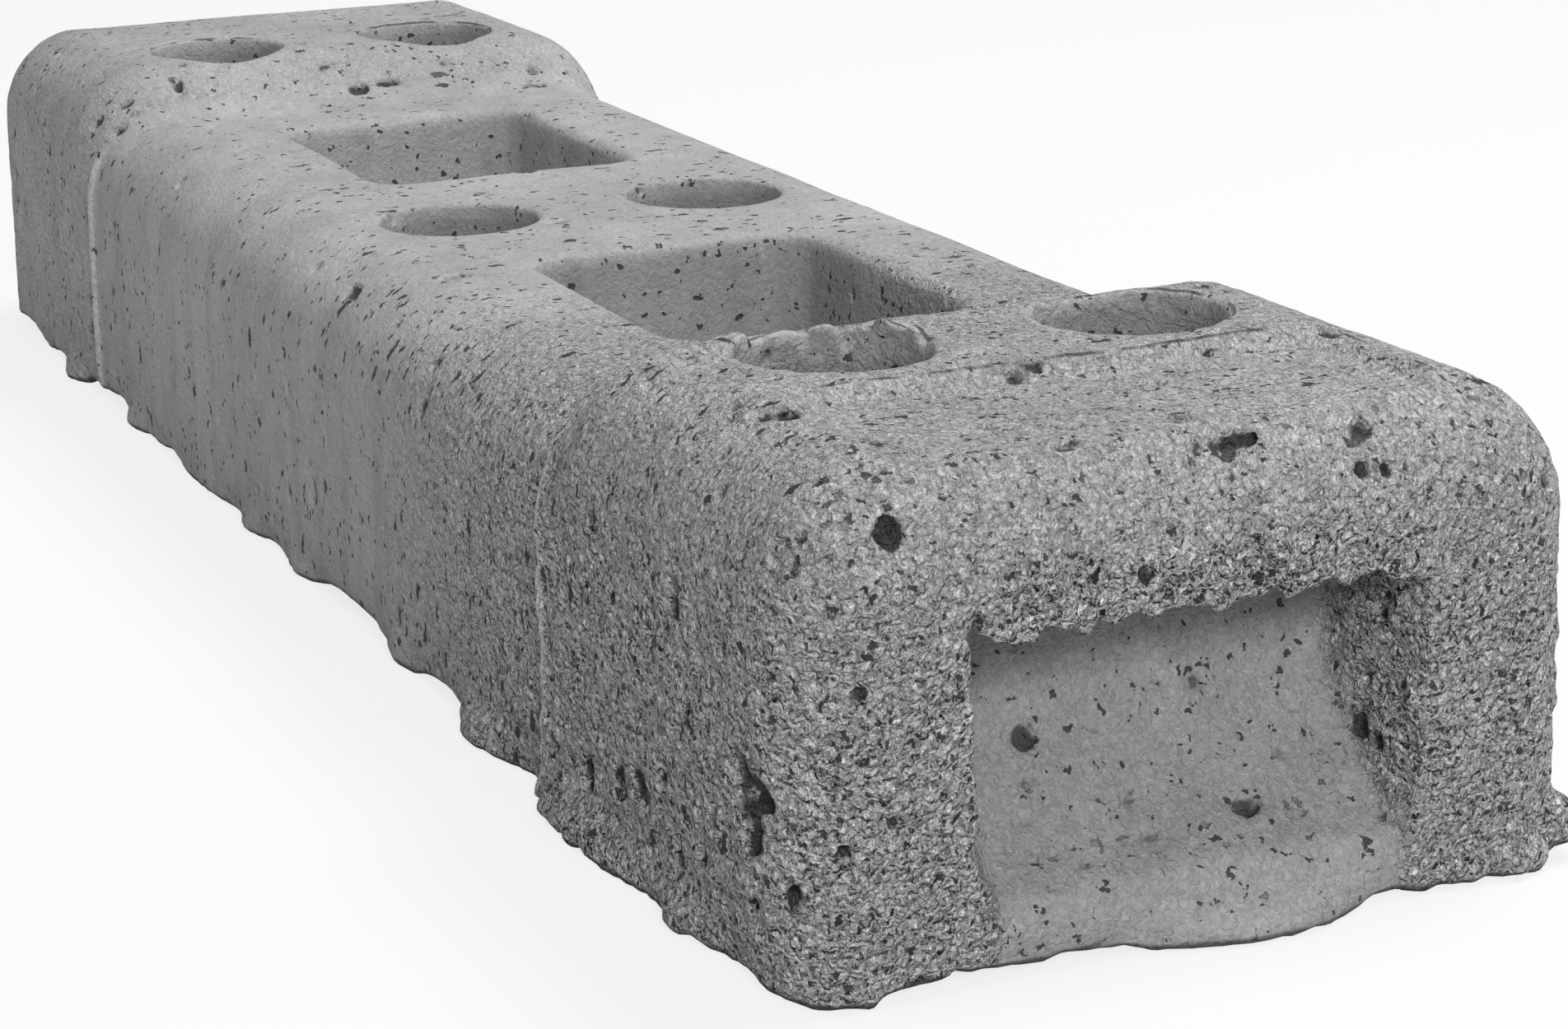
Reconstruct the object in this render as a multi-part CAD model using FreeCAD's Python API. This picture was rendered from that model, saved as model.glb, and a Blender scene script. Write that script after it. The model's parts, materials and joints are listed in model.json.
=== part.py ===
import FreeCAD, Part
import math
import os

# Concrete fence foot: one cast block that stands on the ground and holds the
# posts of temporary fence panels.  Millimetres, +Z up, X along the block.
# The origin is the centre of the flat base, on the ground.

# ---- overall size -------------------------------------------------------
LENGTH = 700.0            # over both end faces, at the base
WIDTH = 194.0             # over the long sides, at the base
HEAD_HEIGHT = 110.0       # ground to the top of a raised end
STEP_HEIGHT = 15.5        # the middle is this much lower than the raised ends
DRAFT_DEG = 1.0           # lean of the outer walls, so the block leaves its mould

# ---- raised ends and the ramps down to the middle -----------------------
HEAD_LENGTH = 124.0       # end face to the top of the ramp
RAMP_RUN = 26.0           # length of the ramp along the block
RAMP_FOOT_RADIUS = 45.0
RAMP_TOP_RADIUS = 20.0

# ---- rounding -----------------------------------------------------------
PLAN_CORNER_RADIUS = 30.0  # upright corners
TOP_EDGE_RADIUS = 28.0    # edge between the top and the sides and ends

# ---- post holes ---------------------------------------------------------
HOLE_RADIUS = 21.5
HOLE_HALF_SPACING = 38.0  # each hole of a pair from the centre line
HOLE_FROM_END = 102.0     # end face to the pair in a raised end
HOLE_RIM_RADIUS = 2.5

# ---- weight-saving pockets, right through the block ---------------------
POCKET_INNER_X = 60.0     # from the middle pair of holes to the near wall
POCKET_TO_RAMP = 33.0     # flat left between the far wall and the ramp
POCKET_SIDE_MARGIN = 56.5  # long side of the block to the pocket
POCKET_CORNER_RADIUS = 11.0
POCKET_DRAFT_DEG = 2.0
POCKET_RIM = 4.0          # width and drop of the softened top edge

# ---- shallow tray on top of each raised end -----------------------------
TRAY_LENGTH = 72.0        # end face to the inner edge
TRAY_SIDE_MARGIN = 29.0   # long side of the block to the tray
TRAY_DEPTH = 4.0
TRAY_WALL_RUN = 4.0       # how far the tray wall leans out over its depth
TRAY_CORNER_RADIUS = 14.0

# ---- hand grip in each end face -----------------------------------------
GRIP_SIDE_MARGIN = 42.0   # long side of the block to the grip
GRIP_BROW = 36.0          # concrete left between the grip and the top
GRIP_BOTTOM_Z = 14.0
GRIP_DEPTH = 40.0         # below the brow; the back wall curves out to the face
GRIP_HOLLOW = 10.0        # how far the back wall bulges in behind a straight slope
GRIP_SIDE_LEAN = 6.0      # each side wall comes in this far at full depth

# ---- worked out from the sizes above ------------------------------------
MIDDLE_HEIGHT = HEAD_HEIGHT - STEP_HEIGHT
RAMP_TOP_X = LENGTH / 2 - HEAD_LENGTH
RAMP_FOOT_X = RAMP_TOP_X - RAMP_RUN
HEAD_HOLE_X = LENGTH / 2 - HOLE_FROM_END
POCKET_OUTER_X = RAMP_FOOT_X - POCKET_TO_RAMP
POCKET_HALF_WIDTH = WIDTH / 2 - POCKET_SIDE_MARGIN
TRAY_START_X = LENGTH / 2 - TRAY_LENGTH
TRAY_HALF_WIDTH = WIDTH / 2 - TRAY_SIDE_MARGIN
GRIP_HALF_WIDTH = WIDTH / 2 - GRIP_SIDE_MARGIN
GRIP_TOP_Z = HEAD_HEIGHT - GRIP_BROW

OVERCUT = 5.0             # cutting tools stand proud of the face they open


def vec(x, y, z):
    return FreeCAD.Vector(x, y, z)


def rounded_rectangle(x0, x1, y0, y1, radius, z):
    """Closed wire in the plane at height z, with rounded corners."""
    centres = [
        (x1 - radius, y1 - radius, 0.0),
        (x0 + radius, y1 - radius, 90.0),
        (x0 + radius, y0 + radius, 180.0),
        (x1 - radius, y0 + radius, 270.0),
    ]
    arcs = []
    for cx, cy, start in centres:
        circle = Part.Circle(vec(cx, cy, z), vec(0, 0, 1), radius)
        first = math.radians(start)
        arcs.append(Part.Arc(circle, first, first + math.pi / 2).toShape())
    edges = []
    for index, arc in enumerate(arcs):
        following = arcs[(index + 1) % len(arcs)]
        leave = arc.valueAt(arc.LastParameter)
        arrive = following.valueAt(following.FirstParameter)
        edges.append(arc)
        edges.append(Part.makeLine(leave, arrive))
    return Part.Wire(edges)


def wall_inset(height):
    """How far the leaning outer walls have come in at a height."""
    return height * math.tan(math.radians(DRAFT_DEG))


def tapered_block(height):
    """Upright block on a rounded rectangle, narrowing upward by the draft."""
    half_length = LENGTH / 2
    half_width = WIDTH / 2
    radius = PLAN_CORNER_RADIUS
    inset = wall_inset(height)
    base = rounded_rectangle(-half_length, half_length, -half_width, half_width, radius, 0.0)
    top = rounded_rectangle(
        -half_length + inset, half_length - inset,
        -half_width + inset, half_width - inset, radius - inset, height)
    return Part.makeLoft([base, top], True, True)


def fillet_corner(before, corner, after, radius):
    """Arc that rounds a corner of an XZ outline; returns its two ends and its middle."""
    into = (before - corner).normalize()
    out = (after - corner).normalize()
    half_angle = math.acos(into.dot(out)) / 2
    reach = radius / math.tan(half_angle)
    start = corner + into * reach
    end = corner + out * reach
    bisector = (into + out).normalize()
    centre = corner + bisector * (radius / math.sin(half_angle))
    middle = centre - bisector * radius
    return start, middle, end


def top_profile():
    """Side view of the block: low middle, ramps, raised ends."""
    far = LENGTH
    foot = vec(RAMP_FOOT_X, 0, MIDDLE_HEIGHT)
    top = vec(RAMP_TOP_X, 0, HEAD_HEIGHT)
    centre_top = vec(0, 0, MIDDLE_HEIGHT)
    outer_top = vec(far, 0, HEAD_HEIGHT)
    foot_arc = fillet_corner(centre_top, foot, top, RAMP_FOOT_RADIUS)
    top_arc = fillet_corner(foot, top, outer_top, RAMP_TOP_RADIUS)

    def mirror(point):
        return vec(-point.x, 0, point.z)

    edges = [
        Part.makeLine(mirror(foot_arc[0]), foot_arc[0]),
        Part.Arc(*foot_arc).toShape(),
        Part.makeLine(foot_arc[2], top_arc[0]),
        Part.Arc(*top_arc).toShape(),
        Part.makeLine(top_arc[2], outer_top),
        Part.makeLine(outer_top, vec(far, 0, -OVERCUT)),
        Part.makeLine(vec(far, 0, -OVERCUT), vec(-far, 0, -OVERCUT)),
        Part.makeLine(vec(-far, 0, -OVERCUT), mirror(outer_top)),
        Part.makeLine(mirror(outer_top), mirror(top_arc[2])),
        Part.Arc(*[mirror(p) for p in reversed(top_arc)]).toShape(),
        Part.makeLine(mirror(top_arc[0]), mirror(foot_arc[2])),
        Part.Arc(*[mirror(p) for p in reversed(foot_arc)]).toShape(),
    ]
    face = Part.Face(Part.Wire(Part.__sortEdges__(edges)))
    face.translate(vec(0, -LENGTH, 0))
    return face.extrude(vec(0, 2 * LENGTH, 0))


def top_rim_edges(solid):
    """Edges all the way round where the top surface meets the outer walls."""
    inside_x = LENGTH / 2 - PLAN_CORNER_RADIUS
    inside_y = WIDTH / 2 - PLAN_CORNER_RADIUS
    rim = []
    for edge in solid.Edges:
        middle = edge.BoundBox.Center
        on_outline = abs(middle.x) > inside_x or abs(middle.y) > inside_y
        if on_outline and edge.BoundBox.ZMin > MIDDLE_HEIGHT - OVERCUT:
            rim.append(edge)
    return rim


def body():
    """The outside of the block, without its openings."""
    block = tapered_block(HEAD_HEIGHT + OVERCUT).common(top_profile())
    corner_radius_at_top = PLAN_CORNER_RADIUS - wall_inset(HEAD_HEIGHT)
    radius = min(TOP_EDGE_RADIUS, corner_radius_at_top)
    return block.makeFillet(radius, top_rim_edges(block))


def post_hole(x, y, surface_z):
    """Straight bore through the block with a rounded rim at the top surface."""
    rim = HOLE_RIM_RADIUS
    bore = Part.makeCylinder(HOLE_RADIUS, surface_z + 2 * OVERCUT, vec(x, y, -OVERCUT))
    inner = HOLE_RADIUS
    outer = HOLE_RADIUS + rim
    low = surface_z - rim
    knee = rim * math.sqrt(0.5)
    arc = Part.Arc(
        vec(inner, 0, low),
        vec(outer - knee, 0, low + knee),
        vec(outer, 0, surface_z)).toShape()
    edges = [
        arc,
        Part.makeLine(vec(outer, 0, surface_z), vec(outer, 0, surface_z + OVERCUT)),
        Part.makeLine(vec(outer, 0, surface_z + OVERCUT), vec(0, 0, surface_z + OVERCUT)),
        Part.makeLine(vec(0, 0, surface_z + OVERCUT), vec(0, 0, low)),
        Part.makeLine(vec(0, 0, low), vec(inner, 0, low)),
    ]
    mouth = Part.Face(Part.Wire(edges)).revolve(vec(0, 0, 0), vec(0, 0, 1), 360)
    mouth.translate(vec(x, y, 0))
    return bore.fuse(mouth)


def pocket(side):
    """Rectangular opening through the middle, wider at the top, with a soft top edge."""
    lean = math.tan(math.radians(POCKET_DRAFT_DEG))

    def outline(grow, z):
        x_low = POCKET_INNER_X - grow
        x_high = POCKET_OUTER_X + grow
        if side < 0:
            x_low, x_high = -x_high, -x_low
        half = POCKET_HALF_WIDTH + grow
        return rounded_rectangle(x_low, x_high, -half, half, POCKET_CORNER_RADIUS + grow, z)

    below = outline(-(MIDDLE_HEIGHT + OVERCUT) * lean, -OVERCUT)
    neck = outline(0.0, MIDDLE_HEIGHT)
    shaft = Part.makeLoft([below, neck], True, True)
    rim_low = outline(-POCKET_RIM * lean, MIDDLE_HEIGHT - POCKET_RIM)
    rim_high = outline(POCKET_RIM, MIDDLE_HEIGHT)
    clear = outline(POCKET_RIM, MIDDLE_HEIGHT + OVERCUT)
    rim = Part.makeLoft([rim_low, rim_high], True, True)
    lid = Part.makeLoft([rim_high, clear], True, True)
    return shaft.fuse([rim, lid])


def tray(side):
    """Shallow sunk area on a raised end, open toward the end face."""
    slope = TRAY_WALL_RUN / TRAY_DEPTH
    grow = slope * OVERCUT
    low_z = HEAD_HEIGHT - TRAY_DEPTH
    start = TRAY_START_X + TRAY_WALL_RUN
    half = TRAY_HALF_WIDTH - TRAY_WALL_RUN
    radius = TRAY_CORNER_RADIUS - TRAY_WALL_RUN
    rise = TRAY_WALL_RUN + grow
    floor = rounded_rectangle(start, LENGTH, -half, half, radius, low_z)
    mouth = rounded_rectangle(
        start - rise, LENGTH + rise, -half - rise, half + rise,
        radius + rise, HEAD_HEIGHT + OVERCUT)
    tool = Part.makeLoft([floor, mouth], True, True)
    if side < 0:
        tool = tool.mirror(vec(0, 0, 0), vec(1, 0, 0))
    return tool


def hand_grip(side):
    """Scoop sunk into an end face: deepest under the brow, running out at its foot."""
    face_x = LENGTH / 2
    outside = face_x + OVERCUT
    back = face_x - GRIP_DEPTH
    brow = vec(back, 0, GRIP_TOP_Z)
    sill = vec(face_x, 0, GRIP_BOTTOM_Z)
    slope = (sill - brow).normalize()
    inward = vec(slope.z, 0, -slope.x)
    hollow = (brow + sill) / 2 + inward * GRIP_HOLLOW
    edges = [
        Part.Arc(brow, hollow, sill).toShape(),
        Part.makeLine(sill, vec(outside, 0, GRIP_BOTTOM_Z)),
        Part.makeLine(vec(outside, 0, GRIP_BOTTOM_Z), vec(outside, 0, GRIP_TOP_Z)),
        Part.makeLine(vec(outside, 0, GRIP_TOP_Z), brow),
    ]
    scoop = Part.Face(Part.Wire(edges))
    scoop.translate(vec(0, -WIDTH, 0))
    scoop = scoop.extrude(vec(0, 2 * WIDTH, 0))
    half_back = GRIP_HALF_WIDTH - GRIP_SIDE_LEAN
    half_outside = GRIP_HALF_WIDTH + OVERCUT * GRIP_SIDE_LEAN / GRIP_DEPTH
    plan_points = [
        vec(outside, -half_outside, 0),
        vec(outside, half_outside, 0),
        vec(back, half_back, 0),
        vec(back, -half_back, 0),
    ]
    plan = Part.Face(Part.makePolygon(plan_points + plan_points[:1]))
    tool = scoop.common(plan.extrude(vec(0, 0, HEAD_HEIGHT)))
    if side < 0:
        tool = tool.mirror(vec(0, 0, 0), vec(1, 0, 0))
    return tool


def fence_foot():
    """The finished casting."""
    tools = []
    for side in (-1, 1):
        tools.append(pocket(side))
        tools.append(tray(side))
        tools.append(hand_grip(side))
        tools.append(post_hole(0.0, side * HOLE_HALF_SPACING, MIDDLE_HEIGHT))
        for end in (-1, 1):
            tools.append(post_hole(end * HEAD_HOLE_X, side * HOLE_HALF_SPACING, HEAD_HEIGHT))
    foot = body()
    for tool in tools:
        foot = foot.cut(tool)
    return foot.Solids[0]


os.makedirs("parts", exist_ok=True)
casting = fence_foot()
casting.exportStep("parts/foot.step")
box = casting.BoundBox
print("foot", box, "volume cm3", round(casting.Volume / 1000, 1), "valid", casting.isValid())
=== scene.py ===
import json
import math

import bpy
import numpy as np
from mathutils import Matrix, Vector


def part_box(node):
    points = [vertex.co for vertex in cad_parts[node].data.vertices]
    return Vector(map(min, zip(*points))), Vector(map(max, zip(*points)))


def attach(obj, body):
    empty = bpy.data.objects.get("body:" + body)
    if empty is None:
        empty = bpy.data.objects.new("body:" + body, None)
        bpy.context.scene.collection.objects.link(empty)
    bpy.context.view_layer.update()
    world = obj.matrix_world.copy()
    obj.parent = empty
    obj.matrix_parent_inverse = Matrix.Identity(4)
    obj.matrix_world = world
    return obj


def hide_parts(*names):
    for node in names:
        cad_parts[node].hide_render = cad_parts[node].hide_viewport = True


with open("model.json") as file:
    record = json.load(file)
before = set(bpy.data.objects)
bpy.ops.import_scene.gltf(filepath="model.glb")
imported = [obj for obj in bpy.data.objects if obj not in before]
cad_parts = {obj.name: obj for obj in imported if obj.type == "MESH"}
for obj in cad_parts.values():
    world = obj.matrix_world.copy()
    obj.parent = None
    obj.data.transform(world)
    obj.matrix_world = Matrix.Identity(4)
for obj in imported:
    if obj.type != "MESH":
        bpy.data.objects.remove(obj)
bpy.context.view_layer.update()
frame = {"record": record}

# The concrete foot of a temporary fence panel.  Its skin is worked out as a
# distance field on a regular grid: the cast block, its holes, pockets, trays and
# hand grips, then everything that happened to it in the mould and on site, such
# as the ragged overflow round the base, the crumbled brow and the air pits.
# The field is meshed once, and the fine grain comes from the material.

import openvdb
from mathutils import Matrix, Vector

MM = 0.001
SEED = 7

# ---- grid ---------------------------------------------------------------
VOXEL = 1.05 * MM
GRID_MARGIN = 14 * MM
TRIANGLE_BUDGET = 196000

# ---- block, in the same terms as the CAD model --------------------------
NODE_LOW, NODE_HIGH = (Vector(corner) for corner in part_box("foot"))
LENGTH = NODE_HIGH.x - NODE_LOW.x
WIDTH = NODE_HIGH.y - NODE_LOW.y
HEAD_HEIGHT = NODE_HIGH.z
STEP_HEIGHT = 15.5 * MM
MIDDLE_HEIGHT = HEAD_HEIGHT - STEP_HEIGHT
WALL_LEAN = math.tan(math.radians(1.0))
WALL_INSET = 0.6 * MM           # the wall stands this far inside the CAD wall
RAMP_TOP_X = LENGTH / 2 - 124 * MM
RAMP_RUN = 26 * MM
PLAN_CORNER_RADIUS = 21 * MM
TOP_EDGE_RADIUS = 30 * MM
SEAM_X = 209.5 * MM              # joint of the mould, beside each head
SEAM_HEIGHT = 1.2 * MM
SEAM_HALF_WIDTH = 1.5 * MM
MIDDLE_SET_BACK = 0.9 * MM       # the middle's walls stand back from the heads'
UNDERSIDE_ROUNDING = 2.4 * MM

POCKET_INNER_X = 60 * MM
POCKET_OUTER_X = 167 * MM
POCKET_HALF_WIDTH = 40.5 * MM
POCKET_CORNER_RADIUS = 11 * MM
POCKET_LEAN = math.tan(math.radians(2.0))
POCKET_RIM = 4.5 * MM
HOLE_RADIUS = 21.5 * MM
HOLE_HALF_SPACING = 38 * MM
HEAD_HOLE_X = 248 * MM
HOLE_LEAD_IN = 4.5 * MM          # the bore widens over this depth below the top
HOLE_FLARE = 1.6 * MM
HOLE_RIM = 1.0 * MM

TRAY_START_X = LENGTH / 2 - 72 * MM
TRAY_HALF_WIDTH = WIDTH / 2 - 29 * MM
TRAY_DEPTH = 4 * MM
FAR_TRAY_DEPTH = 1.5 * MM        # the far tray hardly shows in the outline
TRAY_RISE = 0.016                # its floor rises this much toward the end face
TRAY_WALL_RUN = 4 * MM
TRAY_CORNER_RADIUS = 14 * MM

GRIP_HALF_WIDTH = WIDTH / 2 - 42 * MM
GRIP_TOP_Z = HEAD_HEIGHT - 36 * MM
GRIP_BOTTOM_Z = 14 * MM
GRIP_DEPTH = 40 * MM
GRIP_HOLLOW = 10 * MM
GRIP_SIDE_LEAN = 6 * MM
GRIP_SHIFT = -2.0 * MM
GRIP_TAPER = 0.035              # narrowing of each side toward the sill

# ---- what happened in the mould and on site -----------------------------
PIT_COUNT = 520
PIT_CLEAR_OF_HOLE = 5 * MM
FAR_ROUGHNESS = 0.15            # the far head came out smoother than the near one

# Larger flaws of the real casting: centre, half sizes, in millimetres.
CHIPS = [
    ((324, -97, 43), (8, 5, 7)),        # broken corner, side towards the camera
    ((329, -95, 34), (4, 4, 4)),
    ((337, 9, 104), (4, 6, 4)),         # deepest pit on the end rounding
    ((336, 2, 104), (2, 3, 2)),
    ((338, 39, 103), (2, 4, 3)),
    ((281, -10, 108), (2, 4, 3)),       # pits on the wall of the tray
    ((284, 35, 108), (2, 3, 2.5)),
    ((291, -53, 110), (3, 5, 2)),       # pores in front of the crumbled hole
    ((300, -49, 110), (2, 7, 2)),
    ((308, -43, 110), (1.5, 9, 1.5)),
    ((293, -70, 109), (3, 4, 2)),
    ((216, -94, 83), (4, 3, 4)),        # top of the mould joint
    ((298, -96, 73), (4, 3, 4)),        # long side
    ((254, -97, 20), (5, 3, 4)),
    ((123, -94, 75), (4, 3, 5)),
    ((44, -87, 86), (6, 4, 3)),
    ((270, -97, 22), (3, 3, 5)),
    ((339, -92, 22), (3, 2, 4)),
    ((-214, -61, 104), (4, 3, 3)),      # far ramp
    ((-217, -10, 105), (2, 3, 2)),
    ((-208, 65, 100), (2, 3, 2)),
    ((-206, -1, 98), (2, 3, 2)),
]

# How far the spilt concrete stands out past the base line.  Below zero the edge is
# bare and lifted.
SIDE_SPILL = -2.8 * MM
HEAD_SPILL = 1.6 * MM            # on the long sides, beside the near head
END_SPILL = 1.9 * MM
SPILL_UNEVENNESS = 2.5 * MM
CRUMBLED_HOLE = (248 * MM, -38 * MM)
CORNER_LUMP = ((343, 90.5, 8), (6.5, 6.5, 6.5))

# ---- material: greys, and heights of the bump ---------------------------
DARK_CLOUD = (0.335, 0.335, 0.33, 1)
PALE_CLOUD = (0.415, 0.415, 0.41, 1)
STAIN = (0.27, 0.27, 0.265, 1)
PALE_RUN = (0.47, 0.47, 0.46, 1)
SAND = (0.51, 0.51, 0.505, 1)
# painted shade: the grey that the insides of the grips and holes are darkened toward
PAINTED_RECESS_SHADE = (0.16, 0.16, 0.158, 1)
# painted highlight along the mould joint
PAINTED_JOINT_HIGHLIGHT = (0.8, 0.8, 0.79, 1)
# painted shade for the pits, the underside of the base and the rims
PAINTED_CREVICE_SHADE = (0.035, 0.035, 0.035, 1)
BROW_ROUGHNESS = 0.4            # extra, on the broken edge above the near hand grip
SMOOTH_RELIEF = 0.4 * MM
SANDY_RELIEF = 5.2 * MM
FINE_PIT_RELIEF = 1.4 * MM
GRAIN_STRETCH = (0.55, 1.0, 1.0)
# painted light and shade on the grains: the offset toward the lamps, and how strongly it lightens
# and darkens
TOWARD_LAMP_OFFSET = (0.2 * MM, -0.12 * MM, 0.42 * MM)
GRAIN_SHADING_CONTRAST = 4.2
FULL_SHADE_DEPTH = 2.2 * MM           # a pit this deep is painted in full shade all through

# ---- floor, lights and camera -------------------------------------------
FLOOR_HALF = 12.0
FLOOR_WHITE_SHARE = 0.8          # of plain white, where the camera sees the floor
SKY_STRENGTH = 0.39
CAMERA_PLACE = (0.9163, -0.3557, 0.2922)
CAMERA_TURN = (65.48, 16.60, 1.06)       # azimuth, elevation and roll, in degrees
CAMERA_LENS = 78.9
SENSOR_WIDTH = 36.0


def cells(low, high, step):
    return np.arange(low, high + step, step, dtype=np.float32)


class Field:
    """Coordinates of the sampling grid, shaped so that they broadcast."""

    def __init__(self, voxel):
        self.voxel = voxel
        self.low = NODE_LOW - Vector((GRID_MARGIN,) * 3)
        high = NODE_HIGH + Vector((GRID_MARGIN,) * 3)
        self.axes = [cells(self.low[i], high[i], voxel) for i in range(3)]
        self.shape = tuple(len(axis) for axis in self.axes)
        self.x = self.axes[0][:, None, None]
        self.y = self.axes[1][None, :, None]
        self.z = self.axes[2][None, None, :]
        self.hollow = np.zeros(self.shape, dtype=np.float32)

    def noise(self, size, seed):
        """Smooth random field whose lumps are about `size` across, or a size for each axis."""
        sizes = (size,) * 3 if isinstance(size, float) else size
        rng = np.random.default_rng(SEED * 1000 + seed)
        weights = [self.spline_weights(axis, s) for axis, s in zip(self.axes, sizes)]
        knots = rng.standard_normal([w.shape[1] for w in weights]).astype(np.float32)
        out = np.tensordot(weights[0], knots, axes=(1, 0))
        out = np.tensordot(weights[1], out, axes=(1, 1)).transpose(1, 0, 2)
        out = np.tensordot(out, weights[2], axes=(2, 1))
        return out / out.std()

    @staticmethod
    def spline_weights(axis, spacing):
        """Cubic B-spline weight of every knot at every sample along one axis."""
        position = (axis - axis[0]) / spacing
        count = int(position[-1]) + 4
        t = np.abs(position[:, None] + 1 - np.arange(count)[None, :])
        near = 2 / 3 - t * t + t * t * t / 2
        far = np.clip(2 - t, 0, None) ** 3 / 6
        return np.where(t < 1, near, far).astype(np.float32)


def ramp(values, start, end):
    """0 before start, 1 after end, smooth between."""
    t = np.clip((values - start) / (end - start), 0, 1)
    return t * t * (3 - 2 * t)


def smooth_min(a, b, width):
    blend = np.clip(0.5 + 0.5 * (b - a) / width, 0, 1)
    return b + (a - b) * blend - width * blend * (1 - blend)


def smooth_max(a, b, width):
    return -smooth_min(-a, -b, width)


def both(a, b, radius):
    """What lies inside a and b, its edge rounded to a radius."""
    u = np.maximum(a + radius, 0)
    v = np.maximum(b + radius, 0)
    inner = np.minimum(np.maximum(a + radius, b + radius), 0)
    return np.sqrt(u * u + v * v) - radius + inner


def without(body, void, radius):
    """The body less a void, the rim rounded to a radius."""
    return both(body, -void, radius)


def rectangle(x, y, half_x, half_y, radius):
    """Distance to an upright wall on a rectangle with rounded corners."""
    u = np.abs(x) - (half_x - radius)
    v = np.abs(y) - (half_y - radius)
    outside = np.hypot(np.maximum(u, 0), np.maximum(v, 0))
    return outside + np.minimum(np.maximum(u, v), 0) - radius


def top_height(x):
    """Height of the top surface along the block, and how much its slope shortens distances."""
    along = np.abs(x)
    slope = STEP_HEIGHT / RAMP_RUN
    line = HEAD_HEIGHT - (RAMP_TOP_X - along) * slope
    height = smooth_max(MIDDLE_HEIGHT + 0 * along, line, 5 * MM)
    height = smooth_min(height, HEAD_HEIGHT + 0 * along, 4 * MM)
    steepness = np.gradient(height[:, 0, 0], x[:, 0, 0])[:, None, None]
    return height, 1 / np.sqrt(1 + steepness ** 2)


def spill(g):
    """How far spilt concrete stands out round the base, and how far its underside is lifted."""
    uneven = SPILL_UNEVENNESS * g.noise((15 * MM, 15 * MM, 90 * MM), 1)[:, :, :1]
    toward_head = ramp(g.x, SEAM_X - 60 * MM, SEAM_X + 20 * MM)
    side = SIDE_SPILL + (HEAD_SPILL - SIDE_SPILL) * toward_head + uneven
    end = END_SPILL + uneven
    past_x = np.maximum(np.abs(g.x) - (LENGTH / 2 - PLAN_CORNER_RADIUS), 0)
    past_y = np.maximum(np.abs(g.y) - (WIDTH / 2 - PLAN_CORNER_RADIUS), 0)
    share = past_x / (past_x + past_y + 1e-6)
    reach = side + (end - side) * share
    outward = np.maximum(reach + 1.0 * MM * (1 - share), -0.8 * MM)
    lift = np.maximum((1.2 * MM - reach * 0.7) * share - (reach + 1.2 * MM) * (1 - share), 0)
    return outward, np.minimum(lift, 5 * MM)


def block(g, crumble):
    """The outside of the casting, down to its ragged underside."""
    inset = WALL_INSET + g.z * WALL_LEAN
    head = ramp(np.abs(g.x), SEAM_X - 1 * MM, SEAM_X + 1 * MM)
    half_width = WIDTH / 2 - inset - (1 - head) * MIDDLE_SET_BACK
    walls = rectangle(g.x, g.y, LENGTH / 2 - inset, half_width, PLAN_CORNER_RADIUS)
    seam = np.exp(-((np.abs(g.x) - SEAM_X) / SEAM_HALF_WIDTH) ** 2)
    below_top = 1 - ramp(g.z, 82 * MM, 92 * MM)
    walls = walls - SEAM_HEIGHT * seam * below_top
    outward, lift = spill(g)
    skirt = 1 - ramp(g.z, 3 * MM, 12 * MM)
    walls = walls - skirt * (outward + 0.35 * MM * crumble)
    height, shortening = top_height(g.x)
    body = both(walls, (g.z - height) * shortening, TOP_EDGE_RADIUS)
    underside = lift + 0.3 * MM * crumble
    return both(body, underside - g.z, UNDERSIDE_ROUNDING)


def hand_grip(g, crumble, teeth):
    """Scoop in each end face, its brow broken away along the edge."""
    x = np.abs(g.x)
    brow = Vector((LENGTH / 2 - GRIP_DEPTH, GRIP_TOP_Z))
    sill = Vector((LENGTH / 2, GRIP_BOTTOM_Z))
    chord = sill - brow
    inward = Vector((chord.y, -chord.x)).normalized()
    radius = (chord.length ** 2 / 4 + GRIP_HOLLOW ** 2) / (2 * GRIP_HOLLOW)
    centre = (brow + sill) / 2 - inward * (radius - GRIP_HOLLOW)
    back = np.hypot(x - centre.x, g.z - centre.y) - radius
    half = GRIP_HALF_WIDTH - GRIP_SIDE_LEAN * (LENGTH / 2 - x) / GRIP_DEPTH
    half = half - GRIP_TAPER * (GRIP_TOP_Z - g.z)
    sides = np.abs(g.y - GRIP_SHIFT) - half + 0.8 * MM * crumble
    scoop = both(back, sides, 9 * MM)
    roof = g.z - (GRIP_TOP_Z - 1.0 * MM) + (0.9 * teeth + 1.5 * crumble) * MM
    return both(scoop, roof, 1 * MM)


def tray(g):
    """Shallow sunk area on top of each end."""
    x = np.abs(g.x)
    start = TRAY_START_X + TRAY_WALL_RUN
    half = TRAY_HALF_WIDTH - TRAY_WALL_RUN
    centre = start + LENGTH / 2
    outline = rectangle(x - centre, g.y, centre - start, half, TRAY_CORNER_RADIUS - TRAY_WALL_RUN)
    depth = np.where(g.x > 0, TRAY_DEPTH, FAR_TRAY_DEPTH)
    above = g.z - (HEAD_HEIGHT - depth) - TRAY_RISE * (x - TRAY_START_X)
    walls = (outline - above * TRAY_WALL_RUN / depth) * math.sqrt(0.5)
    return both(walls, -above, 1.0 * MM)


def pocket(g):
    """Rectangular opening through the middle, on both sides of the centre."""
    centre = (POCKET_INNER_X + POCKET_OUTER_X) / 2
    inset = (MIDDLE_HEIGHT - g.z) * POCKET_LEAN
    half_x = (POCKET_OUTER_X - POCKET_INNER_X) / 2 - inset
    half_y = POCKET_HALF_WIDTH - inset
    return rectangle(np.abs(g.x) - centre, g.y, half_x, half_y, POCKET_CORNER_RADIUS)


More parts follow.
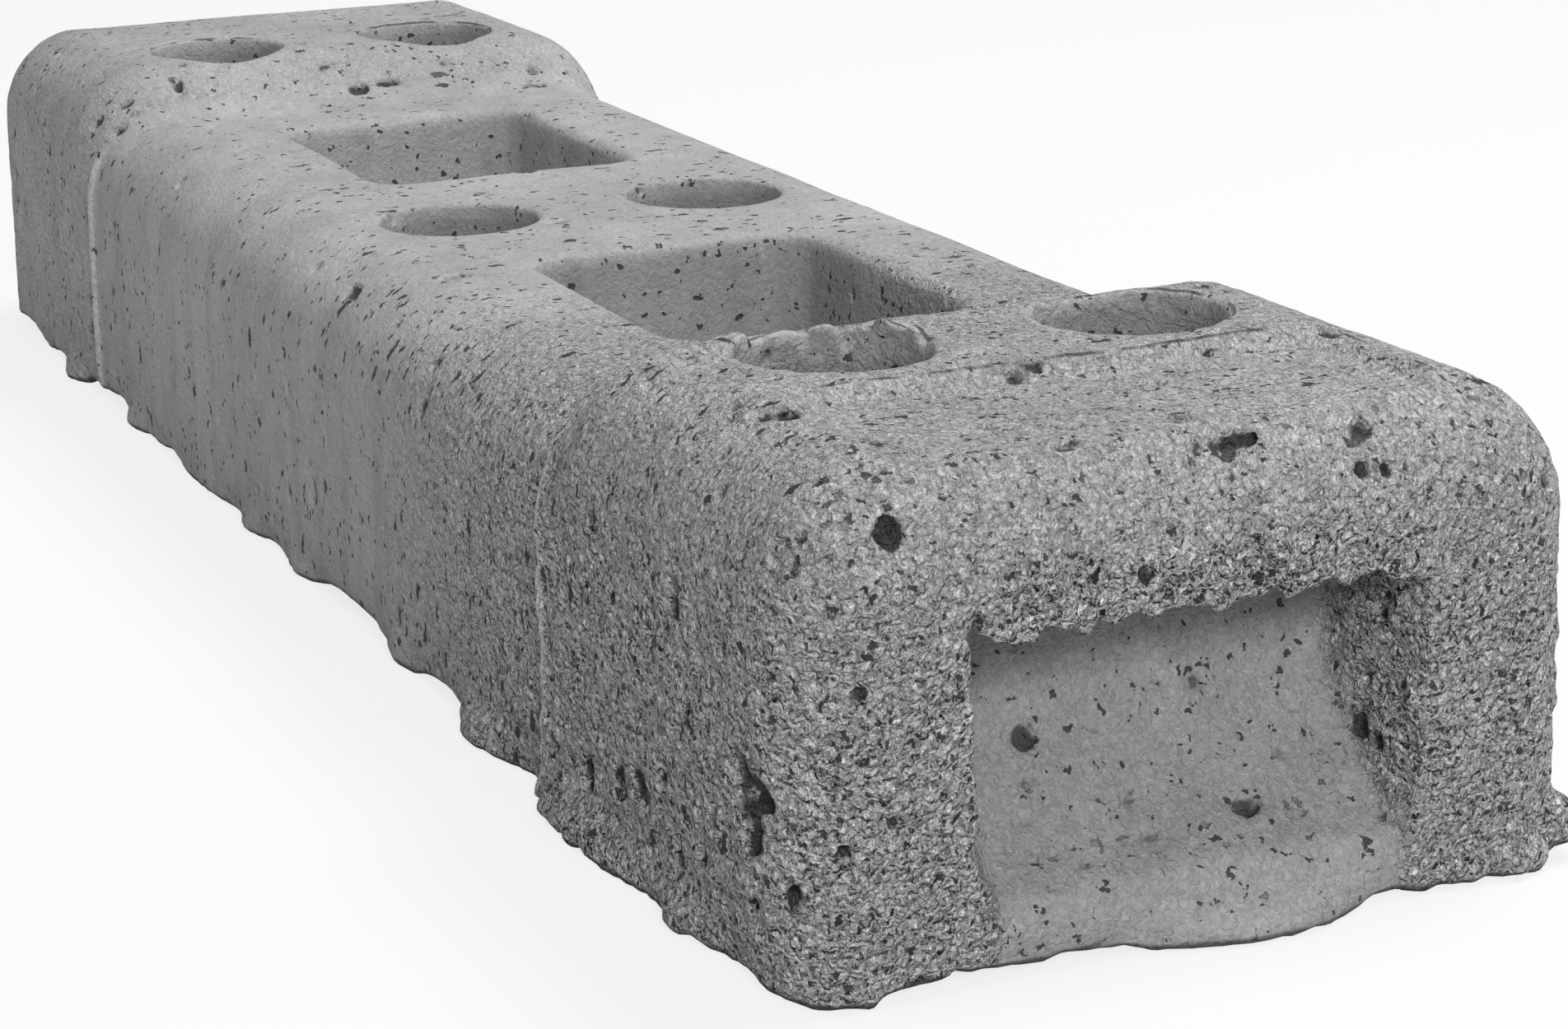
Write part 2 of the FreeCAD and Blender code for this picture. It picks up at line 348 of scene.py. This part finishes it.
def ellipsoid(g, centre, halves, tilt=0.0):
    """Window of the grid round an ellipsoid, and the distance to it inside that window."""
    reach = max(halves) + 4 * MM
    window = []
    for axis in range(3):
        first = int((centre[axis] - reach - g.low[axis]) / g.voxel)
        last = int((centre[axis] + reach - g.low[axis]) / g.voxel) + 2
        window.append(slice(max(first, 0), min(last, g.shape[axis])))
    x, y, z = (g.axes[i][window[i]] - centre[i] for i in range(3))
    x, y, z = x[:, None, None], y[None, :, None], z[None, None, :]
    c, s = math.cos(tilt), math.sin(tilt)
    u, v = (c * x + s * y) / halves[0], (c * y - s * x) / halves[1]
    return tuple(window), (np.sqrt(u ** 2 + v ** 2 + (z / halves[2]) ** 2) - 1) * min(halves)


def cut_pit(field, g, centre, halves, tilt, raggedness):
    window, pit = ellipsoid(g, centre, halves, tilt)
    pit = pit + raggedness[window] * 0.35 * min(halves)
    depth = np.where(pit < 0.8 * g.voxel, -field[window], 0)
    g.hollow[window] = np.maximum(g.hollow[window], depth)
    field[window] = smooth_max(field[window], -pit, 0.3 * MM)


def raise_lump(field, g, centre, halves, raggedness):
    window, lump = ellipsoid(g, centre, halves)
    lump = lump + raggedness[window] * 0.5 * MM
    field[window] = smooth_min(field[window], lump, 3 * MM)


def scatter_pits(field, g, raggedness):
    """Air pits of the larger sizes, drawn out across the block on its top and sides."""
    rng = np.random.default_rng(SEED)
    shell = np.argwhere(np.abs(field) < 0.5 * g.voxel)
    shell = shell[shell[:, 2] * g.voxel > GRID_MARGIN + 8 * MM]
    shell = shell[rng.permutation(len(shell))[:3 * PIT_COUNT]]
    made = 0
    for cell in shell:
        centre = [float(g.axes[axis][cell[axis]]) for axis in range(3)]
        in_head = abs(centre[0]) > SEAM_X
        keep = rng.random()
        off_hole = math.hypot(abs(centre[0]) - HEAD_HOLE_X, abs(centre[1]) - HOLE_HALF_SPACING)
        size = rng.uniform(0.8, 1.3) * MM + 1.6 * MM * rng.random() ** 7
        stretch = rng.uniform(1.1, 2.4)
        tilt = rng.normal(0, 0.15)
        if (not in_head and keep < 0.6) or off_hole < HOLE_RADIUS + PIT_CLEAR_OF_HOLE:
            continue
        if abs(centre[0]) > LENGTH / 2 - 9 * MM:
            halves = (1.5 * size, size, size)
        elif centre[2] > MIDDLE_HEIGHT - 8 * MM:
            halves = (size, size * stretch, 1.3 * size)
        else:
            halves = (size, 1.5 * size, size * stretch)
        cut_pit(field, g, centre, halves, tilt, raggedness)
        made += 1
        if made == PIT_COUNT:
            break


def post_hole(g, mount, crumble):
    """Bore for a post, wider just below the top, its rim frayed."""
    hole_x, hole_y, _ = mount["pos_m"]
    on_head = abs(hole_x) > SEAM_X
    top = HEAD_HEIGHT if on_head else MIDDLE_HEIGHT
    near_top = np.clip((g.z - top + HOLE_LEAD_IN) / HOLE_LEAD_IN, 0, 1)
    fray = 0.15 * MM
    if hole_x > SEAM_X and hole_y < 0:
        fray = fray + 1.0 * MM * ramp(hole_x - g.x, -4 * MM, 12 * MM)
    frayed = fray * ramp(g.z, top - 9 * MM, top) * np.maximum(crumble, -0.5)
    bore = np.hypot(g.x - hole_x, g.y - hole_y) - mount["dims"]["r_mm"] * MM
    return bore - HOLE_FLARE * near_top - frayed


def surface_relief(g, crumble):
    """Unevenness left by the mould, roughest on the flanks of the two heads."""
    head = ramp(g.x, SEAM_X - 50 * MM, SEAM_X + 2 * MM)
    head = head + FAR_ROUGHNESS * ramp(-g.x, SEAM_X - 50 * MM, SEAM_X + 2 * MM)
    low = 1 - ramp(g.z, 0.5 * HEAD_HEIGHT, HEAD_HEIGHT)
    beside_grip = ramp(np.abs(g.y - GRIP_SHIFT), GRIP_HALF_WIDTH - 8 * MM, GRIP_HALF_WIDTH)
    above_grip = ramp(g.z, GRIP_TOP_Z - 6 * MM, GRIP_TOP_Z)
    near_end = ramp(np.abs(g.x), 0.42 * LENGTH, 0.44 * LENGTH)
    in_grip = near_end * (1 - np.maximum(beside_grip, above_grip))
    rough = head * (0.3 + 0.7 * low) * (1 - 0.7 * in_grip)
    brow = np.exp(-((g.z - GRIP_TOP_Z - 6 * MM) / (7 * MM)) ** 2)
    brow = brow * ramp(np.abs(g.x), 0.48 * LENGTH, 0.49 * LENGTH) * (1 - beside_grip)
    off_hole = np.hypot(g.x - CRUMBLED_HOLE[0], g.y - CRUMBLED_HOLE[1])
    crust = np.exp(-((off_hole - 25 * MM) / (4.5 * MM)) ** 2) * ramp(g.z, 98 * MM, 104 * MM)
    crust = crust * ramp(CRUMBLED_HOLE[0] - g.x, -4 * MM, 12 * MM)
    grain = (0.03 * MM + 0.24 * MM * rough) * g.noise(2.0 * MM, 4)
    uneven = (0.16 * rough + 1.25 * brow + 0.8 * crust) * MM * crumble
    return grain + uneven + 0.2 * MM * g.noise(26 * MM, 5)


def casting_field(g):
    teeth = g.noise(1.9 * MM, 6)
    crumble = g.noise(2.3 * MM, 2) * 0.75 + g.noise(5.5 * MM, 3) * 0.65
    body = block(g, crumble)
    body = without(body, tray(g), 0.3 * MM)
    body = without(body, pocket(g), POCKET_RIM)
    for mount in frame["record"]["mounts"]:
        if mount["kind"] == "bore":
            body = without(body, post_hole(g, mount, crumble), HOLE_RIM)
    sill_softness = 1 * MM + 4 * MM * (1 - ramp(g.z, 10 * MM, 26 * MM))
    body = without(body, hand_grip(g, crumble, teeth), sill_softness)
    body = body + surface_relief(g, crumble)
    raise_lump(body, g, *(np.array(CORNER_LUMP) * MM), crumble)
    for centre, halves in CHIPS:
        cut_pit(body, g, np.array(centre) * MM, np.array(halves) * MM, 0.3, crumble)
    scatter_pits(body, g, crumble)
    return np.maximum(body, -g.z)


def main_part(points, faces):
    """The largest connected part of a mesh, without loose crumbs and trapped bubbles."""
    label = np.arange(len(points))
    while True:
        joined = label.copy()
        np.minimum.at(joined, faces.ravel(), np.repeat(label[faces].min(axis=1), faces.shape[1]))
        joined = joined[joined]
        if np.array_equal(joined, label):
            break
        label = joined
    main = np.bincount(label).argmax()
    kept = label == main
    new_index = np.cumsum(kept) - 1
    return points[kept], new_index[faces[kept[faces[:, 0]]]]


def mesh_from_field(field, g, name):
    """One closed mesh on the zero level of the field."""
    volume = openvdb.FloatGrid(GRID_MARGIN)
    volume.copyFromArray(np.ascontiguousarray(field))
    points, _, quads = volume.convertToPolygons(isovalue=0.0, adaptivity=0.0)
    points, quads = main_part(points * g.voxel + np.array(g.low), quads)
    mesh = bpy.data.meshes.new(name)
    mesh.from_pydata(points.tolist(), [], quads.tolist())
    mesh.validate()
    mesh.shade_smooth()
    return mesh


def reduce_mesh(obj, budget):
    """Bring the mesh under the triangle budget, keeping most where the shape is busy."""
    triangles = 2 * len(obj.data.polygons)
    if triangles <= budget:
        return
    modifier = obj.modifiers.new("reduce", "DECIMATE")
    modifier.ratio = budget / triangles
    graph = bpy.context.evaluated_depsgraph_get()
    reduced = bpy.data.meshes.new_from_object(obj.evaluated_get(graph))
    obj.modifiers.clear()
    old = obj.data
    obj.data = reduced
    obj.data.name = old.name
    bpy.data.meshes.remove(old)
    obj.data.shade_smooth()


def mark_hollows(mesh, g):
    """Store on every vertex how deep inside a pit it lies, for the material."""
    points = np.empty(3 * len(mesh.vertices), dtype=np.float32)
    mesh.vertices.foreach_get("co", points)
    cells_at = np.rint((points.reshape(-1, 3) - np.array(g.low)) / g.voxel).astype(int)
    cells_at = np.clip(cells_at, 0, np.array(g.shape) - 1)
    depth = g.hollow[cells_at[:, 0], cells_at[:, 1], cells_at[:, 2]]
    attribute = mesh.attributes.new("hollow", "FLOAT", "POINT")
    attribute.data.foreach_set("value", np.clip(depth / FULL_SHADE_DEPTH, 0, 1))


class Nodes:
    """Short-hand for building a node tree."""

    def __init__(self, tree):
        self.tree = tree
        tree.nodes.clear()

    def add(self, kind, inputs=None, **settings):
        node = self.tree.nodes.new(kind)
        for key, value in settings.items():
            setattr(node, key, value)
        for key, value in (inputs or {}).items():
            self.feed(node.inputs[key], value)
        return node

    def feed(self, socket, value):
        if isinstance(value, bpy.types.NodeSocket):
            self.tree.links.new(value, socket)
        else:
            socket.default_value = value

    def math(self, operation, a, b=0.0, clamp=False):
        node = self.add("ShaderNodeMath", {0: a, 1: b}, operation=operation, use_clamp=clamp)
        return node.outputs[0]

    def invert(self, value):
        return self.math("SUBTRACT", 1.0, value)

    def vector_math(self, operation, inputs):
        return self.add("ShaderNodeVectorMath", inputs, operation=operation).outputs

    def remap(self, value, low, high, to_low=0.0, to_high=1.0):
        node = self.add("ShaderNodeMapRange", {"Value": value}, interpolation_type="SMOOTHSTEP")
        limits = {"From Min": low, "From Max": high, "To Min": to_low, "To Max": to_high}
        for key, number in limits.items():
            self.feed(node.inputs[key], number)
        return node.outputs["Result"]

    def stretch(self, vector, scale):
        node = self.add("ShaderNodeMapping", {"Vector": vector, "Scale": scale})
        return node.outputs["Vector"]

    def noise(self, vector, scale, detail=2.0, roughness=0.5):
        inputs = {"Vector": vector, "Scale": scale, "Detail": detail, "Roughness": roughness}
        return self.add("ShaderNodeTexNoise", inputs).outputs["Fac"]

    def mix(self, factor, a, b, blend="MIX"):
        node = self.add("ShaderNodeMix", data_type="RGBA", blend_type=blend)
        self.feed(node.inputs[0], factor)
        self.feed(node.inputs[6], a)
        self.feed(node.inputs[7], b)
        return node.outputs[2]


def pit_mask(n, vector, scale, share, size):
    """1 inside scattered pits; `share` of the cells hold one, up to `size` cells in radius."""
    cell = n.add("ShaderNodeTexVoronoi", {"Vector": vector, "Scale": scale, "Randomness": 1.0})
    chance = n.add("ShaderNodeSeparateColor", {"Color": cell.outputs["Color"]}).outputs[0]
    radius = n.math("MULTIPLY", n.remap(chance, n.math("SUBTRACT", 1.0, share), 1.0), size)
    inside = n.math("SUBTRACT", radius, cell.outputs["Distance"])
    return n.remap(inside, 0.0, size * 0.25)


def grain_height(n, vector):
    """Height of the sandy relief at a place: rounded crumbs with creases between them."""
    sand = n.noise(vector, 1200.0, 2.0, 0.7)
    lumps = n.noise(vector, 460.0, 3.0, 0.7)
    crumb = n.add("ShaderNodeTexVoronoi", {"Vector": vector, "Scale": 700.0}).outputs["Distance"]
    height = n.math("ADD", n.math("MULTIPLY", sand, 0.5), lumps)
    return n.math("SUBTRACT", height, n.math("MULTIPLY", crumb, 0.4))


def circle_distance(n, x, y, radius):
    flat = n.add("ShaderNodeCombineXYZ", {"X": x, "Y": y, "Z": 0.0}).outputs[0]
    length = n.vector_math("LENGTH", {0: flat})["Value"]
    return n.math("ABSOLUTE", n.math("SUBTRACT", length, radius))


class Skin:
    """The point of the surface that the material colours, and where on the block it lies."""

    def __init__(self, n):
        self.place = n.add("ShaderNodeTexCoord").outputs["Object"]
        self.bent = self.bend(n)
        xyz = n.add("ShaderNodeSeparateXYZ", {"Vector": self.place})
        self.x, self.y, self.z = (xyz.outputs[axis] for axis in "XYZ")
        self.along = n.math("ABSOLUTE", self.x)
        self.across = n.math("ABSOLUTE", self.y)
        normal = n.add("ShaderNodeNewGeometry").outputs["Normal"]
        facing = n.add("ShaderNodeSeparateXYZ", {"Vector": normal})
        self.facing_z = facing.outputs["Z"]
        self.upward = n.remap(self.facing_z, 0.35, 0.8)
        self.endward = n.remap(n.math("ABSOLUTE", facing.outputs["X"]), 0.4, 0.8)
        hole_y = n.math("SUBTRACT", self.across, HOLE_HALF_SPACING)
        hole_x = n.math("SUBTRACT", self.along, HEAD_HOLE_X)
        self.off_head_hole = circle_distance(n, hole_x, hole_y, 0.0)
        middle_hole = circle_distance(n, self.along, hole_y, 0.0)
        self.off_hole = n.math("MINIMUM", self.off_head_hole, middle_hole)
        near_head = n.remap(self.x, SEAM_X - 0.14, SEAM_X + 0.01)
        far_head = n.remap(self.x, 0.004 - SEAM_X, -SEAM_X, 0.0, FAR_ROUGHNESS)
        self.head = n.math("ADD", near_head, far_head)
        self.rough = self.rough_share(n)

    def bend(self, n):
        """The place moved about a little, so that pits and grains lose their regular outline."""
        wobble = n.add("ShaderNodeTexNoise", {"Vector": self.place, "Scale": 480.0, "Detail": 2.0})
        offset = n.vector_math("SUBTRACT", {0: wobble.outputs["Color"], 1: (0.5, 0.5, 0.5)})[0]
        shift = n.vector_math("SCALE", {0: offset, "Scale": 4.5 * MM})[0]
        return n.vector_math("ADD", {0: self.place, 1: shift})[0]

    def beside_grip(self, n):
        off_middle = n.math("ABSOLUTE", n.math("SUBTRACT", self.y, GRIP_SHIFT))
        return n.remap(off_middle, GRIP_HALF_WIDTH - 10 * MM, GRIP_HALF_WIDTH - 2 * MM)

    def inside_grip(self, n):
        above = n.remap(self.z, GRIP_TOP_Z - 5 * MM, GRIP_TOP_Z)
        near_end = n.remap(self.along, 0.42 * LENGTH, 0.44 * LENGTH)
        outside = n.math("MAXIMUM", self.beside_grip(n), above)
        return n.math("MULTIPLY", near_end, n.invert(outside))

    def rough_share(self, n):
        """How sandy the surface is: the flanks of the heads, but not the inside of the grips."""
        low = n.remap(self.z, 0.55 * HEAD_HEIGHT, HEAD_HEIGHT + 4 * MM, 1.0, 0.35)
        rough = n.math("MULTIPLY", self.head, low)
        rough = n.math("MULTIPLY", rough, n.remap(self.inside_grip(n), 0.0, 1.0, 1.0, 0.08))
        by_bore = n.remap(self.off_hole, HOLE_RADIUS + 2 * MM, HOLE_RADIUS + 5 * MM, 0.25, 1.0)
        rough = n.math("MULTIPLY", rough, by_bore)
        return n.math("ADD", rough, n.math("MULTIPLY", self.brow_share(n), BROW_ROUGHNESS))

    def brow_share(self, n):
        """The band along the broken edge above the near hand grip."""
        off_edge = n.math("ABSOLUTE", n.math("SUBTRACT", self.z, GRIP_TOP_Z + 4 * MM))
        band = n.remap(off_edge, 5 * MM, 11 * MM, 1.0, 0.0)
        band = n.math("MULTIPLY", band, n.invert(self.beside_grip(n)))
        on_end = n.remap(self.along, 0.475 * LENGTH, 0.49 * LENGTH)
        near_half = n.remap(self.x, 0.0, 0.1)
        return n.math("MULTIPLY", n.math("MULTIPLY", band, on_end), near_half)


def fine_pits(n, skin):
    """Drawn out across the block, round on the end faces, small ones on the heads."""
    crowd = n.remap(n.noise(skin.place, 28.0, 2.0), 0.35, 0.65, 0.3, 1.0)
    crowd = n.math("MULTIPLY", crowd, n.remap(skin.x, -0.16, 0.10, 0.4, 1.0))
    short_place = n.stretch(skin.bent, (1.0, 0.5, 0.5))
    short = pit_mask(n, short_place, 400.0, n.math("MULTIPLY", crowd, 0.65), 0.36)
    long_place = n.stretch(skin.bent, (1.0, 0.4, 0.4))
    long = pit_mask(n, long_place, 200.0, n.math("MULTIPLY", crowd, 0.5), 0.29)
    dashes = n.math("MULTIPLY", n.math("MAXIMUM", short, long), n.invert(skin.endward))
    round_share = n.math("MAXIMUM", skin.endward, n.math("MULTIPLY", skin.rough, 0.8))
    round_pits = n.math("MULTIPLY", pit_mask(n, skin.bent, 230.0, 0.75, 0.25), round_share)
    grit_share = n.math("ADD", 0.18, n.math("MULTIPLY", skin.rough, 0.4))
    grit_pits = pit_mask(n, skin.bent, 430.0, grit_share, 0.40)
    return n.math("MAXIMUM", n.math("MAXIMUM", dashes, round_pits), grit_pits)


def modelled_pit_shade(n, skin):
    """The larger pits, which are in the mesh: how much painted shade they get inside."""
    hollow = n.add("ShaderNodeAttribute", attribute_name="hollow").outputs["Fac"]
    ragged = n.math("MULTIPLY", n.math("SUBTRACT", n.noise(skin.place, 600.0, 3.0), 0.5), 0.6)
    return n.remap(n.math("ADD", hollow, ragged), 0.30, 0.75)


def painted_recess_shade(n, skin):
    """How much painted shade darkens the inside of the grips, most under the brow, and of the
    holes.
    """
    grip = n.remap(skin.z, GRIP_TOP_Z - 24 * MM, GRIP_TOP_Z - 4 * MM, 0.26, 0.62)
    grip = n.math("MULTIPLY", grip, skin.inside_grip(n))
    bore = n.remap(skin.off_hole, HOLE_RADIUS + 1 * MM, HOLE_RADIUS + 2 * MM, 0.3, 0.0)
    bore = n.math("MULTIPLY", bore, n.invert(skin.upward))
    return n.math("MAXIMUM", grip, bore)


def ground_tone(n, skin, cloud):
    """Grey of the cement with its clouds, stains, pale runs, sandy heads and painted shade in the
    grips and holes.
    """
    streak = n.noise(n.stretch(skin.place, (95.0, 95.0, 7.0)), 1.0, 3.0, 0.6)
    tone = n.mix(n.remap(cloud, 0.3, 0.7), DARK_CLOUD, PALE_CLOUD)
    off_head = n.invert(n.math("MULTIPLY", skin.head, 0.6))
    upright = n.math("MULTIPLY", n.invert(skin.upward), off_head)
    # upright faces are made darker, more toward the near end, and the streaks come on top
    upright_darkening = n.remap(skin.x, -0.2, 0.1, 0.25, 0.6)
    stain = n.math("ADD", upright_darkening, n.math("MULTIPLY", n.remap(streak, 0.45, 0.7), 0.4))
    tone = n.mix(n.math("MULTIPLY", stain, upright), tone, STAIN)
    run = n.math("MULTIPLY", n.remap(streak, 0.42, 0.3), n.math("MULTIPLY", upright, 0.25))
    tone = n.mix(run, tone, PALE_RUN)
    tone = n.mix(n.math("MULTIPLY", skin.rough, 0.7, clamp=True), tone, SAND)
    # painted shade inside the grips and the holes
    return n.mix(painted_recess_shade(n, skin), tone, PAINTED_RECESS_SHADE)


def speckle_and_grain_shading(n, skin, grains, grain_place):
    """Factor on the grey: random specks and mottling, and painted light and shade on every grain,
    lighter on its top and darker under it.
    """
    above = n.vector_math("ADD", {0: grain_place, 1: TOWARD_LAMP_OFFSET})[0]
    # painted light and shade: a grain is lighter where its height falls off toward the lamps and
    # darker where it rises
    relief_light = n.math("SUBTRACT", grains, grain_height(n, above))
    speck = n.math("SUBTRACT", n.noise(skin.place, 1100.0, 3.0, 0.75), 0.5)
    speck = n.math("ADD", n.math("MULTIPLY", speck, 1.6), n.math("MULTIPLY", relief_light, GRAIN_SHADING_CONTRAST))
    contrast = n.math("ADD", 0.16, n.math("MULTIPLY", skin.rough, 0.9))
    mottle = n.math("SUBTRACT", n.noise(skin.place, 75.0, 4.0, 0.65), 0.5)
    mottle = n.math("ADD", 1.0, n.math("MULTIPLY", mottle, 0.45))
    factor = n.math("ADD", mottle, n.math("MULTIPLY", speck, contrast))
    return n.add("ShaderNodeCombineColor", {0: factor, 1: factor, 2: factor}).outputs[0]


def painted_joint_highlight(n, skin):
    """Painted highlight along the joint of the mould, where the edge of its small step catches the
    light; strongest beside the near head.
    """
    off_joint = n.math("ABSOLUTE", n.math("SUBTRACT", skin.along, SEAM_X))
    line = n.remap(off_joint, 0.8 * MM, 2.2 * MM, 0.9, 0.0)
    line = n.math("MULTIPLY", line, n.remap(skin.z, 88 * MM, 80 * MM))
    line = n.math("MULTIPLY", line, n.remap(skin.x, -0.1, 0.1, 0.35, 1.0))
    return n.math("MULTIPLY", line, n.invert(skin.upward))


def tray_edge(n, skin):
    """Distance to the edge of the tray: its sides, its back, and the arcs between them."""
    side = n.math("ABSOLUTE", n.math("SUBTRACT", skin.across, TRAY_HALF_WIDTH))
    past_arc = n.math("GREATER_THAN", skin.along, TRAY_START_X + TRAY_CORNER_RADIUS)
    side = n.math("ADD", side, n.invert(past_arc))
    back = n.math("ABSOLUTE", n.math("SUBTRACT", skin.along, TRAY_START_X))
    beyond = n.math("GREATER_THAN", skin.across, TRAY_HALF_WIDTH - TRAY_CORNER_RADIUS)
    back = n.math("ADD", back, beyond)
    corner_x = n.math("SUBTRACT", skin.along, TRAY_START_X + TRAY_CORNER_RADIUS)
    corner_y = n.math("SUBTRACT", skin.across, TRAY_HALF_WIDTH - TRAY_CORNER_RADIUS)
    arc = circle_distance(n, corner_x, corner_y, TRAY_CORNER_RADIUS)
    behind = n.math("LESS_THAN", corner_x, 0.0)
    in_corner = n.math("MULTIPLY", behind, n.math("GREATER_THAN", corner_y, 0.0))
    arc = n.math("ADD", arc, n.invert(in_corner))
    return n.math("MINIMUM", side, n.math("MINIMUM", back, arc))


def painted_rim_shade(n, skin):
    """Thin broken line of painted shade along the rims of the head holes and the edge of the tray.
    """
    rim_radius = HOLE_RADIUS + HOLE_FLARE + 0.5 * MM
    ring = n.math("ABSOLUTE", n.math("SUBTRACT", skin.off_head_hole, rim_radius))
    near = n.math("MINIMUM", ring, tray_edge(n, skin))
    broken = n.remap(n.noise(skin.place, 90.0, 3.0), 0.42, 0.58)
    broken = n.math("MULTIPLY", broken, n.math("LESS_THAN", skin.along, 0.47 * LENGTH))
    broken = n.math("MULTIPLY", broken, n.math("GREATER_THAN", skin.y, -0.3 * WIDTH))
    line = n.math("MULTIPLY", n.remap(near, 0.2 * MM, 0.7 * MM, 1.0, 0.0), broken)
    return n.math("MULTIPLY", line, n.remap(skin.facing_z, 0.2, 0.5, 0.0, 0.8))


def painted_crevice_shade(n, skin, pits):
    """Painted shade in the pits, under the ragged base and along the rims."""
    # painted shade under the base: on faces that look down and along the lowest few millimetres
    faces_down = n.remap(skin.facing_z, -0.2, -0.6)
    under = n.math("MAXIMUM", faces_down, n.remap(skin.z, 2.6 * MM, 1.2 * MM))
    under = n.math("MULTIPLY", under, n.remap(skin.z, 12 * MM, 8 * MM, 0.0, 0.8))
    hollows = n.math("MULTIPLY", modelled_pit_shade(n, skin), 0.85)
    # painted shade in the pits, darkest in the deep ones
    crevice_shade = n.math("MAXIMUM", n.math("MULTIPLY", pits, 0.92), hollows)
    return n.math("MAXIMUM", n.math("MAXIMUM", crevice_shade, under), painted_rim_shade(n, skin))


def bump_normal(n, skin, grains, pits):
    sandy = n.math("ADD", SMOOTH_RELIEF, n.math("MULTIPLY", skin.rough, SANDY_RELIEF))
    relief = n.math("MULTIPLY", grains, sandy)
    height = n.math("SUBTRACT", relief, n.math("MULTIPLY", pits, FINE_PIT_RELIEF))
    bump = n.add("ShaderNodeBump", {"Height": height, "Strength": 1.0, "Distance": 1.0})
    return bump.outputs["Normal"]


def concrete():
    material = bpy.data.materials.new("cast_concrete")
    material.use_nodes = True
    n = Nodes(material.node_tree)
    skin = Skin(n)
    pits = fine_pits(n, skin)
    grain_place = n.stretch(skin.bent, GRAIN_STRETCH)
    grains = grain_height(n, grain_place)
    cloud = n.noise(skin.place, 16.0, 4.0, 0.6)
    specks_and_grain_shading = speckle_and_grain_shading(n, skin, grains, grain_place)
    # random specks and mottling, with painted light and shade on the grains
    colour = n.mix(1.0, ground_tone(n, skin, cloud), specks_and_grain_shading, "MULTIPLY")
    # painted highlight along the mould joint
    colour = n.mix(painted_joint_highlight(n, skin), colour, PAINTED_JOINT_HIGHLIGHT)
    # painted shade in the pits, under the base and along the rims
    colour = n.mix(painted_crevice_shade(n, skin, pits), colour, PAINTED_CREVICE_SHADE)
    normal = bump_normal(n, skin, grains, pits)
    shader = n.add("ShaderNodeBsdfPrincipled", {"Base Color": colour, "Normal": normal})
    n.feed(shader.inputs["Roughness"], n.remap(cloud, 0.3, 0.7, 0.86, 0.97))
    shader.inputs["Specular IOR Level"].default_value = 0.3
    out = n.add("ShaderNodeOutputMaterial")
    n.tree.links.new(shader.outputs[0], out.inputs["Surface"])
    return material


def build_foot():
    g = Field(VOXEL)
    mesh = mesh_from_field(casting_field(g), g, "cast_foot")
    foot = bpy.data.objects.new("cast_foot", mesh)
    bpy.context.scene.collection.objects.link(foot)
    reduce_mesh(foot, TRIANGLE_BUDGET)
    mark_hollows(foot.data, g)
    foot.data.materials.append(concrete())
    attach(foot, "root")
    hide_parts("foot")


def build_floor():
    mesh = bpy.data.meshes.new("floor")
    half = FLOOR_HALF
    corners = [(-half, -half, 0), (half, -half, 0), (half, half, 0), (-half, half, 0)]
    mesh.from_pydata(corners, [], [(0, 1, 2, 3)])
    floor = bpy.data.objects.new("floor", mesh)
    bpy.context.scene.collection.objects.link(floor)
    material = bpy.data.materials.new("floor")
    material.use_nodes = True
    n = Nodes(material.node_tree)
    diffuse = n.add("ShaderNodeBsdfDiffuse", {"Color": (0.75, 0.75, 0.75, 1)})
    glow = n.add("ShaderNodeEmission", {"Color": (1, 1, 1, 1), "Strength": 1.0})
    camera = n.add("ShaderNodeLightPath").outputs["Is Camera Ray"]
    share = n.math("MULTIPLY", camera, FLOOR_WHITE_SHARE)
    mixed = n.add("ShaderNodeMixShader", {0: share, 1: diffuse.outputs[0], 2: glow.outputs[0]})
    out = n.add("ShaderNodeOutputMaterial")
    n.tree.links.new(mixed.outputs[0], out.inputs["Surface"])
    mesh.materials.append(material)


def area_light(name, location, target, size, power):
    data = bpy.data.lights.new(name, "AREA")
    data.shape = "RECTANGLE"
    data.size, data.size_y = size
    data.energy = power
    light = bpy.data.objects.new(name, data)
    light.location = location
    light.rotation_euler = (Vector(target) - Vector(location)).to_track_quat("-Z", "Y").to_euler()
    bpy.context.scene.collection.objects.link(light)


def build_lights():
    world = bpy.data.worlds.new("studio")
    world.use_nodes = True
    n = Nodes(world.node_tree)
    light = n.add("ShaderNodeBackground", {"Color": (1, 1, 1, 1), "Strength": SKY_STRENGTH})
    backdrop = n.add("ShaderNodeBackground", {"Color": (1, 1, 1, 1), "Strength": 1.0})
    camera = n.add("ShaderNodeLightPath").outputs["Is Camera Ray"]
    mixed = n.add("ShaderNodeMixShader", {0: camera, 1: light.outputs[0], 2: backdrop.outputs[0]})
    out = n.add("ShaderNodeOutputWorld")
    n.tree.links.new(mixed.outputs[0], out.inputs["Surface"])
    bpy.context.scene.world = world
    area_light("overhead", (0.1, 1.0, 2.1), (0, 0, 0), (0.9, 0.9), 36.0)
    area_light("front", (2.4, -0.5, 1.35), (0.2, 0, 0.05), (0.6, 0.6), 36.0)


def build_camera():
    azimuth, elevation, roll = (math.radians(angle) for angle in CAMERA_TURN)
    back = Vector((
        math.sin(azimuth) * math.cos(elevation),
        -math.cos(azimuth) * math.cos(elevation),
        math.sin(elevation)))
    right = Vector((0, 0, 1)).cross(back).normalized()
    up = back.cross(right)
    turned_right = right * math.cos(roll) - up * math.sin(roll)
    turned_up = back.cross(turned_right)
    turn = Matrix((turned_right, turned_up, back)).transposed()
    data = bpy.data.cameras.new("camera")
    data.sensor_width = SENSOR_WIDTH
    data.lens = CAMERA_LENS
    camera = bpy.data.objects.new("camera", data)
    camera.matrix_world = Matrix.Translation(CAMERA_PLACE) @ turn.to_4x4()
    bpy.context.scene.collection.objects.link(camera)
    bpy.context.scene.camera = camera


build_foot()
build_floor()
build_lights()
build_camera()
bpy.context.scene.view_settings.view_transform = "Standard"
